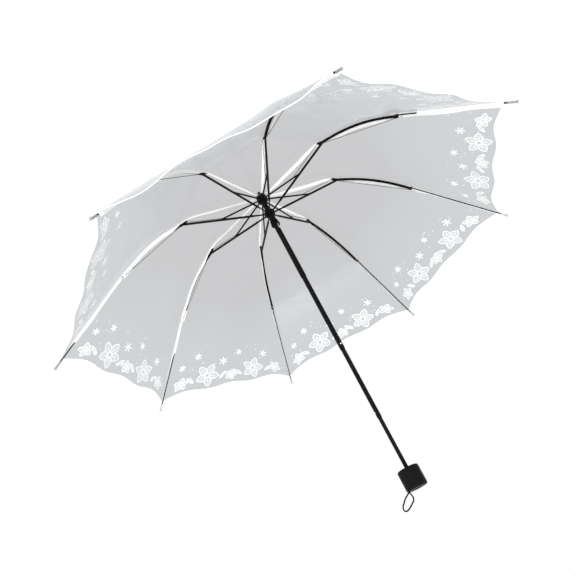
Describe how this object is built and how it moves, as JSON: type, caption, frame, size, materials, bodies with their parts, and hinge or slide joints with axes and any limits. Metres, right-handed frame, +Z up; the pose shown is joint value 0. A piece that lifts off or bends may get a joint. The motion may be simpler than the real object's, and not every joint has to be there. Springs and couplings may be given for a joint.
{
  "type": "folding umbrella",
  "caption": "Open three-fold umbrella: clear film canopy with a scalloped hem, black folding ribs, a telescopic shaft, a sliding runner and a drum handle with a wrist loop.",
  "frame": {"origin": "middle of the drum handle, on the shaft's axis", "axes": "+Z up the shaft to the crown; +X along rib 1"},
  "size_m": [0.9656, 0.9656, 0.6987],
  "materials": {
    "clear_film": "clear, soft gloss",
    "rib_steel": "satin black",
    "black_steel": "satin black",
    "bright_steel": "satin",
    "tip_metal": "satin",
    "handle_plastic": "satin",
    "fitting_plastic": "satin",
    "cord": "braided"
  },
  "bodies": {
    "grip": {"handle_drum": "handle_plastic", "handle_plug": "handle_plastic", "wrist_loop": "cord", "shaft_tube_4": "black_steel"},
    "shaft_3": {"shaft_tube_3": "black_steel"},
    "shaft_2": {"shaft_tube_2": "black_steel"},
    "shaft_1": {"shaft_tube_1": "black_steel", "crown": "fitting_plastic", "crown_wire": "bright_steel", "top_cap": "fitting_plastic", "canopy": "clear_film"},
    "runner_body": {"runner": "fitting_plastic", "runner_wire": "bright_steel"},
    "catch": {"runner_catch": "bright_steel"},
    "button_1": {"spring_button_1": "bright_steel"},
    "button_2": {"spring_button_2": "bright_steel"},
    "button_3": {"spring_button_3": "bright_steel"},
    "first_rib_body_1": {"first_rib_1": "rib_steel"},
    "stretcher_body_1": {"stretcher_1": "rib_steel"},
    "second_rib_body_1": {"second_rib_1": "rib_steel"},
    "third_rib_body_1": {"third_rib_1": "rib_steel", "rib_tip_1": "tip_metal"},
    "first_rib_body_2": {"first_rib_2": "rib_steel"},
    "stretcher_body_2": {"stretcher_2": "rib_steel"},
    "second_rib_body_2": {"second_rib_2": "rib_steel"},
    "third_rib_body_2": {"third_rib_2": "rib_steel", "rib_tip_2": "tip_metal"},
    "first_rib_body_3": {"first_rib_3": "rib_steel"},
    "stretcher_body_3": {"stretcher_3": "rib_steel"},
    "second_rib_body_3": {"second_rib_3": "rib_steel"},
    "third_rib_body_3": {"third_rib_3": "rib_steel", "rib_tip_3": "tip_metal"},
    "first_rib_body_4": {"first_rib_4": "rib_steel"},
    "stretcher_body_4": {"stretcher_4": "rib_steel"},
    "second_rib_body_4": {"second_rib_4": "rib_steel"},
    "third_rib_body_4": {"third_rib_4": "rib_steel", "rib_tip_4": "tip_metal"},
    "first_rib_body_5": {"first_rib_5": "rib_steel"},
    "stretcher_body_5": {"stretcher_5": "rib_steel"},
    "second_rib_body_5": {"second_rib_5": "rib_steel"},
    "third_rib_body_5": {"third_rib_5": "rib_steel", "rib_tip_5": "tip_metal"},
    "first_rib_body_6": {"first_rib_6": "rib_steel"},
    "stretcher_body_6": {"stretcher_6": "rib_steel"},
    "second_rib_body_6": {"second_rib_6": "rib_steel"},
    "third_rib_body_6": {"third_rib_6": "rib_steel", "rib_tip_6": "tip_metal"},
    "first_rib_body_7": {"first_rib_7": "rib_steel"},
    "stretcher_body_7": {"stretcher_7": "rib_steel"},
    "second_rib_body_7": {"second_rib_7": "rib_steel"},
    "third_rib_body_7": {"third_rib_7": "rib_steel", "rib_tip_7": "tip_metal"},
    "first_rib_body_8": {"first_rib_8": "rib_steel"},
    "stretcher_body_8": {"stretcher_8": "rib_steel"},
    "second_rib_body_8": {"second_rib_8": "rib_steel"},
    "third_rib_body_8": {"third_rib_8": "rib_steel", "rib_tip_8": "tip_metal"}
  },
  "joints": [
    {"name": "shaft_slide_3", "type": "slide", "parent": "grip", "child": "shaft_3", "axis": [0, 0, -1], "range_m": [0, 0.088], "deforming": ["spring_button_3"]},
    {"name": "shaft_slide_2", "type": "slide", "parent": "shaft_3", "child": "shaft_2", "axis": [0, 0, -1], "range_m": [0, 0.133], "deforming": ["spring_button_2"]},
    {"name": "shaft_slide_1", "type": "slide", "parent": "shaft_2", "child": "shaft_1", "axis": [0, 0, -1], "range_m": [0, 0.165], "deforming": ["spring_button_1"]},
    {"name": "button_press_1", "type": "slide", "parent": "shaft_2", "child": "button_1", "axis": [1, 0, 0], "range_m": [0, 0.0015], "stiffness_N_per_m": 400},
    {"name": "button_press_2", "type": "slide", "parent": "shaft_3", "child": "button_2", "axis": [-1, 0, 0], "range_m": [0, 0.0015], "stiffness_N_per_m": 400},
    {"name": "button_press_3", "type": "slide", "parent": "grip", "child": "button_3", "axis": [-0.1736, 0.9848, 0], "range_m": [0, 0.0015], "stiffness_N_per_m": 400},
    {"name": "catch_press", "type": "slide", "parent": "shaft_1", "child": "catch", "axis": [-0.9239, -0.3827, 0], "range_m": [0, 0.0022], "stiffness_N_per_m": 400},
    {"name": "rib_fold_1", "type": "hinge", "parent": "shaft_1", "child": "first_rib_body_1", "pos_m": [0.009, 0, 0.633], "axis": [0, 1, 0], "range_deg": [0, 77.99], "deforming": ["canopy", "runner_catch"]},
    {"name": "stretcher_hinge_1", "type": "hinge", "parent": "first_rib_body_1", "child": "stretcher_body_1", "pos_m": [0.103, 0, 0.613], "axis": [0, -1, 0], "range_deg": [0, 161.98]},
    {"name": "second_rib_hinge_1", "type": "hinge", "parent": "stretcher_body_1", "child": "second_rib_body_1", "pos_m": [0.17763, 0, 0.62888], "axis": [0, 1, 0], "range_deg": [0, 143.99]},
    {"name": "third_rib_hinge_1", "type": "hinge", "parent": "second_rib_body_1", "child": "third_rib_body_1", "pos_m": [0.32329, 0, 0.54917], "axis": [0, -1, 0], "range_deg": [0, 185]},
    {"name": "rib_fold_2", "type": "hinge", "parent": "shaft_1", "child": "first_rib_body_2", "pos_m": [0.00636, 0.00636, 0.633], "axis": [-0.7071, 0.7071, 0], "range_deg": [0, 83.99]},
    {"name": "stretcher_hinge_2", "type": "hinge", "parent": "first_rib_body_2", "child": "stretcher_body_2", "pos_m": [0.07283, 0.07283, 0.613], "axis": [0.7071, -0.7071, 0], "range_deg": [0, 161.98]},
    {"name": "second_rib_hinge_2", "type": "hinge", "parent": "stretcher_body_2", "child": "second_rib_body_2", "pos_m": [0.1256, 0.1256, 0.62888], "axis": [-0.7071, 0.7071, 0], "range_deg": [0, 143.99]},
    {"name": "third_rib_hinge_2", "type": "hinge", "parent": "second_rib_body_2", "child": "third_rib_body_2", "pos_m": [0.2286, 0.2286, 0.54917], "axis": [0.7071, -0.7071, 0], "range_deg": [0, 185]},
    {"name": "rib_fold_3", "type": "hinge", "parent": "shaft_1", "child": "first_rib_body_3", "pos_m": [0, 0.009, 0.633], "axis": [-1, 0, 0], "range_deg": [0, 83.99]},
    {"name": "stretcher_hinge_3", "type": "hinge", "parent": "first_rib_body_3", "child": "stretcher_body_3", "pos_m": [0, 0.103, 0.613], "axis": [1, 0, 0], "range_deg": [0, 161.98]},
    {"name": "second_rib_hinge_3", "type": "hinge", "parent": "stretcher_body_3", "child": "second_rib_body_3", "pos_m": [0, 0.17763, 0.62888], "axis": [-1, 0, 0], "range_deg": [0, 143.99]},
    {"name": "third_rib_hinge_3", "type": "hinge", "parent": "second_rib_body_3", "child": "third_rib_body_3", "pos_m": [0, 0.32329, 0.54917], "axis": [1, 0, 0], "range_deg": [0, 185]},
    {"name": "rib_fold_4", "type": "hinge", "parent": "shaft_1", "child": "first_rib_body_4", "pos_m": [-0.00636, 0.00636, 0.633], "axis": [-0.7071, -0.7071, 0], "range_deg": [0, 83.99]},
    {"name": "stretcher_hinge_4", "type": "hinge", "parent": "first_rib_body_4", "child": "stretcher_body_4", "pos_m": [-0.07283, 0.07283, 0.613], "axis": [0.7071, 0.7071, 0], "range_deg": [0, 161.98]},
    {"name": "second_rib_hinge_4", "type": "hinge", "parent": "stretcher_body_4", "child": "second_rib_body_4", "pos_m": [-0.1256, 0.1256, 0.62888], "axis": [-0.7071, -0.7071, 0], "range_deg": [0, 143.99]},
    {"name": "third_rib_hinge_4", "type": "hinge", "parent": "second_rib_body_4", "child": "third_rib_body_4", "pos_m": [-0.2286, 0.2286, 0.54917], "axis": [0.7071, 0.7071, 0], "range_deg": [0, 185]},
    {"name": "rib_fold_5", "type": "hinge", "parent": "shaft_1", "child": "first_rib_body_5", "pos_m": [-0.009, 0, 0.633], "axis": [0, -1, 0], "range_deg": [0, 83.99]},
    {"name": "stretcher_hinge_5", "type": "hinge", "parent": "first_rib_body_5", "child": "stretcher_body_5", "pos_m": [-0.103, 0, 0.613], "axis": [0, 1, 0], "range_deg": [0, 161.98]},
    {"name": "second_rib_hinge_5", "type": "hinge", "parent": "stretcher_body_5", "child": "second_rib_body_5", "pos_m": [-0.17763, 0, 0.62888], "axis": [0, -1, 0], "range_deg": [0, 143.99]},
    {"name": "third_rib_hinge_5", "type": "hinge", "parent": "second_rib_body_5", "child": "third_rib_body_5", "pos_m": [-0.32329, 0, 0.54917], "axis": [0, 1, 0], "range_deg": [0, 185]},
    {"name": "rib_fold_6", "type": "hinge", "parent": "shaft_1", "child": "first_rib_body_6", "pos_m": [-0.00636, -0.00636, 0.633], "axis": [0.7071, -0.7071, 0], "range_deg": [0, 83.99]},
    {"name": "stretcher_hinge_6", "type": "hinge", "parent": "first_rib_body_6", "child": "stretcher_body_6", "pos_m": [-0.07283, -0.07283, 0.613], "axis": [-0.7071, 0.7071, 0], "range_deg": [0, 161.98]},
    {"name": "second_rib_hinge_6", "type": "hinge", "parent": "stretcher_body_6", "child": "second_rib_body_6", "pos_m": [-0.1256, -0.1256, 0.62888], "axis": [0.7071, -0.7071, 0], "range_deg": [0, 143.99]},
    {"name": "third_rib_hinge_6", "type": "hinge", "parent": "second_rib_body_6", "child": "third_rib_body_6", "pos_m": [-0.2286, -0.2286, 0.54917], "axis": [-0.7071, 0.7071, 0], "range_deg": [0, 185]},
    {"name": "rib_fold_7", "type": "hinge", "parent": "shaft_1", "child": "first_rib_body_7", "pos_m": [0, -0.009, 0.633], "axis": [1, 0, 0], "range_deg": [0, 83.99]},
    {"name": "stretcher_hinge_7", "type": "hinge", "parent": "first_rib_body_7", "child": "stretcher_body_7", "pos_m": [0, -0.103, 0.613], "axis": [-1, 0, 0], "range_deg": [0, 161.98]},
    {"name": "second_rib_hinge_7", "type": "hinge", "parent": "stretcher_body_7", "child": "second_rib_body_7", "pos_m": [0, -0.17763, 0.62888], "axis": [1, 0, 0], "range_deg": [0, 143.99]},
    {"name": "third_rib_hinge_7", "type": "hinge", "parent": "second_rib_body_7", "child": "third_rib_body_7", "pos_m": [0, -0.32329, 0.54917], "axis": [-1, 0, 0], "range_deg": [0, 185]},
    {"name": "rib_fold_8", "type": "hinge", "parent": "shaft_1", "child": "first_rib_body_8", "pos_m": [0.00636, -0.00636, 0.633], "axis": [0.7071, 0.7071, 0], "range_deg": [0, 83.99]},
    {"name": "stretcher_hinge_8", "type": "hinge", "parent": "first_rib_body_8", "child": "stretcher_body_8", "pos_m": [0.07283, -0.07283, 0.613], "axis": [-0.7071, -0.7071, 0], "range_deg": [0, 161.98]},
    {"name": "second_rib_hinge_8", "type": "hinge", "parent": "stretcher_body_8", "child": "second_rib_body_8", "pos_m": [0.1256, -0.1256, 0.62888], "axis": [0.7071, 0.7071, 0], "range_deg": [0, 143.99]},
    {"name": "third_rib_hinge_8", "type": "hinge", "parent": "second_rib_body_8", "child": "third_rib_body_8", "pos_m": [0.2286, -0.2286, 0.54917], "axis": [-0.7071, -0.7071, 0], "range_deg": [0, 185]},
    {"name": "runner_slide", "type": "slide", "parent": "shaft_1", "child": "runner_body", "axis": [0, 0, -1], "range_m": [0, 0.1572]}
  ],
  "couplings": [
    {"joint": "stretcher_hinge_1", "follows": "rib_fold_1", "ratio": 2},
    {"joint": "second_rib_hinge_1", "follows": "rib_fold_1", "ratio": 1.7693},
    {"joint": "third_rib_hinge_1", "follows": "rib_fold_1", "ratio": 2.2952},
    {"joint": "rib_fold_2", "follows": "rib_fold_1", "ratio": 1},
    {"joint": "stretcher_hinge_2", "follows": "rib_fold_1", "ratio": 2},
    {"joint": "second_rib_hinge_2", "follows": "rib_fold_1", "ratio": 1.7693},
    {"joint": "third_rib_hinge_2", "follows": "rib_fold_1", "ratio": 2.2952},
    {"joint": "rib_fold_3", "follows": "rib_fold_1", "ratio": 1},
    {"joint": "stretcher_hinge_3", "follows": "rib_fold_1", "ratio": 2},
    {"joint": "second_rib_hinge_3", "follows": "rib_fold_1", "ratio": 1.7693},
    {"joint": "third_rib_hinge_3", "follows": "rib_fold_1", "ratio": 2.2952},
    {"joint": "rib_fold_4", "follows": "rib_fold_1", "ratio": 1},
    {"joint": "stretcher_hinge_4", "follows": "rib_fold_1", "ratio": 2},
    {"joint": "second_rib_hinge_4", "follows": "rib_fold_1", "ratio": 1.7693},
    {"joint": "third_rib_hinge_4", "follows": "rib_fold_1", "ratio": 2.2952},
    {"joint": "rib_fold_5", "follows": "rib_fold_1", "ratio": 1},
    {"joint": "stretcher_hinge_5", "follows": "rib_fold_1", "ratio": 2},
    {"joint": "second_rib_hinge_5", "follows": "rib_fold_1", "ratio": 1.7693},
    {"joint": "third_rib_hinge_5", "follows": "rib_fold_1", "ratio": 2.2952},
    {"joint": "rib_fold_6", "follows": "rib_fold_1", "ratio": 1},
    {"joint": "stretcher_hinge_6", "follows": "rib_fold_1", "ratio": 2},
    {"joint": "second_rib_hinge_6", "follows": "rib_fold_1", "ratio": 1.7693},
    {"joint": "third_rib_hinge_6", "follows": "rib_fold_1", "ratio": 2.2952},
    {"joint": "rib_fold_7", "follows": "rib_fold_1", "ratio": 1},
    {"joint": "stretcher_hinge_7", "follows": "rib_fold_1", "ratio": 2},
    {"joint": "second_rib_hinge_7", "follows": "rib_fold_1", "ratio": 1.7693},
    {"joint": "third_rib_hinge_7", "follows": "rib_fold_1", "ratio": 2.2952},
    {"joint": "rib_fold_8", "follows": "rib_fold_1", "ratio": 1},
    {"joint": "stretcher_hinge_8", "follows": "rib_fold_1", "ratio": 2},
    {"joint": "second_rib_hinge_8", "follows": "rib_fold_1", "ratio": 1.7693},
    {"joint": "third_rib_hinge_8", "follows": "rib_fold_1", "ratio": 2.2952},
    {"joint": "runner_slide", "follows": "rib_fold_1", "m_per_rad": 0.11182}
  ]
}
